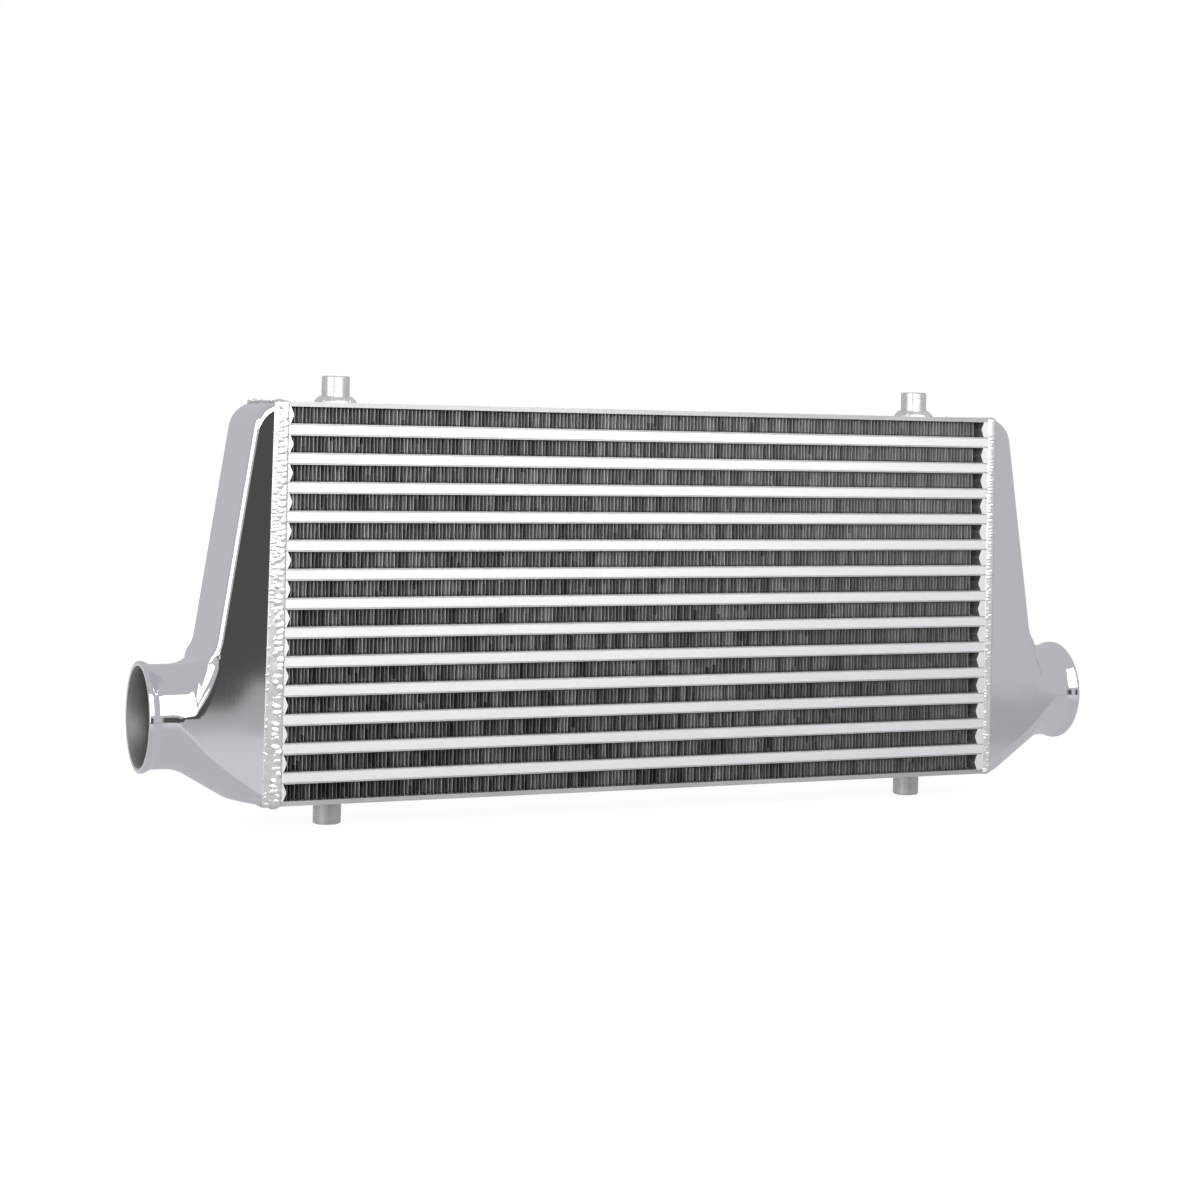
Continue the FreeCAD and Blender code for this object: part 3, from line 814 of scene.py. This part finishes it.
addCamera(cameraValues)
bpy.context.scene.view_settings.view_transform = "Standard"


# Studio: a pale floor, two soft boxes and surroundings that the metal reflects

studioValues = {
    "around": grey(0.54, (1.0, 1.0, 1.06)), "groundNear": grey(0.42, (0.99, 1.0, 1.03)),
    "groundFar": grey(0.68, (0.98, 0.99, 1.03)), "groundLow": grey(0.53, (0.98, 0.99, 1.04)),
    "groundRight": grey(0.54, (0.99, 0.99, 1.05)), "shade": grey(0.08), "plain": grey(0.66),
    "nearFrom": -0.1205, "farFrom": -0.130, "lowFrom": -0.16, "lowTo": -0.4, "shadeTo": 0.07,
    "dip": 0.012, "dipLeft": 0.264, "dipRight": 0.276, "softness": 0.002,
    "shadeLeft": -0.24, "shadeRight": 0.46, "floorSize": 12.0, "floorGlow": 1.08, "glowShare": 0.85,
}
boxValues = (
    {"name": "frontBox", "place": (0.05, -1.95, 1.12), "size": (2.5, 1.8), "radiance": 3.5},
    {"name": "leftBox", "place": (-1.9, -0.9, 0.45), "size": (1.5, 1.4), "radiance": 1.5},
)


def surroundings(v):
    world = bpy.data.worlds.new("studio")
    bpy.context.scene.world = world
    world.use_nodes = True
    world.node_tree.nodes.clear()
    graph = Graph(world.node_tree)
    x, y, z = graph.parts(graph.node("ShaderNodeTexCoord", output="Generated"))
    front = graph.ramped(0.0 - y, 0.2, 0.5)
    across = x / graph.node("ShaderNodeMath", {"operation": "MAXIMUM"}, {0: 0.0 - y, 1: 0.05})
    shade = front * graph.ramped(across, v["shadeLeft"] - 0.08, v["shadeLeft"] + 0.08)
    shade = shade * graph.ramped(across, v["shadeRight"] - 0.06, v["shadeRight"] + 0.06, 1.0, 0.0)
    shade = shade * graph.ramped(z, v["shadeTo"] - 0.03, v["shadeTo"] + 0.03, 1.0, 0.0)
    room = graph.colour(shade, v["around"], v["shade"])
    far = graph.colour(graph.ramped(z, v["lowTo"], v["lowFrom"]), v["groundLow"], v["groundFar"])
    far = graph.colour(graph.ramped(x, 0.3, 0.5), far, v["groundRight"])
    soft = v["softness"]
    edge = graph.ramped(z, v["farFrom"] - soft, v["farFrom"] + soft)
    ground = graph.colour(edge, far, v["groundNear"])
    level = z - v["dip"] * graph.ramped(across, v["dipLeft"], v["dipRight"])
    edge = graph.ramped(level, v["nearFrom"] - soft, v["nearFrom"] + soft)
    room = graph.colour(edge, ground, room)
    ray = graph.node("ShaderNodeLightPath").socket.node.outputs
    glossy = Wire(graph, ray["Is Glossy Ray"]) + Wire(graph, ray["Is Transmission Ray"])
    seen = graph.colour(glossy, v["plain"], room)
    seen = graph.colour(Wire(graph, ray["Is Camera Ray"]), seen, grey(1.0))
    light = graph.node("ShaderNodeBackground", None, {"Color": seen, "Strength": 1.0})
    graph.node("ShaderNodeOutputWorld", None, {"Surface": light})


def addBox(values, middle):
    width, height = values["size"]
    lamp = bpy.data.lights.new(values["name"], "AREA")
    lamp.shape = "RECTANGLE"
    lamp.size, lamp.size_y = width, height
    lamp.energy = values["radiance"] * math.pi * width * height
    box = bpy.data.objects.new(values["name"], lamp)
    bpy.context.scene.collection.objects.link(box)
    place = Vector(values["place"])
    box.matrix_world = (Matrix.Translation(place)
                        @ (middle - place).to_track_quat("-Z", "Y").to_matrix().to_4x4())
    box.visible_camera = False


def addFloor(v, height):
    shape = bmesh.new()
    bmesh.ops.create_grid(shape, x_segments=8, y_segments=8, size=v["floorSize"] / 2)
    mesh = bpy.data.meshes.new("floor")
    shape.to_mesh(mesh)
    shape.free()
    mesh.transform(Matrix.Translation((0, 0, height)))
    floor = bpy.data.objects.new("floor", mesh)
    bpy.context.scene.collection.objects.link(floor)
    floor.visible_glossy = False
    finish, graph, place = newFinish("paleFloor")
    speckle = graph.noise(place, 40.0, 3.0)
    colour = graph.colour(speckle, grey(0.90), grey(0.93))
    lit = graph.node("ShaderNodeBsdfDiffuse", None, {"Color": colour})
    glow = graph.node("ShaderNodeEmission", None, {"Color": grey(1.0), "Strength": v["floorGlow"]})
    camera = graph.node("ShaderNodeLightPath", output="Is Camera Ray")
    both = graph.node("ShaderNodeMixShader", None, {0: camera * v["glowShare"], 1: lit, 2: glow})
    graph.node("ShaderNodeOutputMaterial", None, {"Surface": both})
    mesh.materials.append(finish)


surroundings(studioValues)
for values in boxValues:
    addBox(values, Vector((0, 0, 0)))
addFloor(studioValues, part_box("bottom_bosses")[0].z)
print("studio lit")
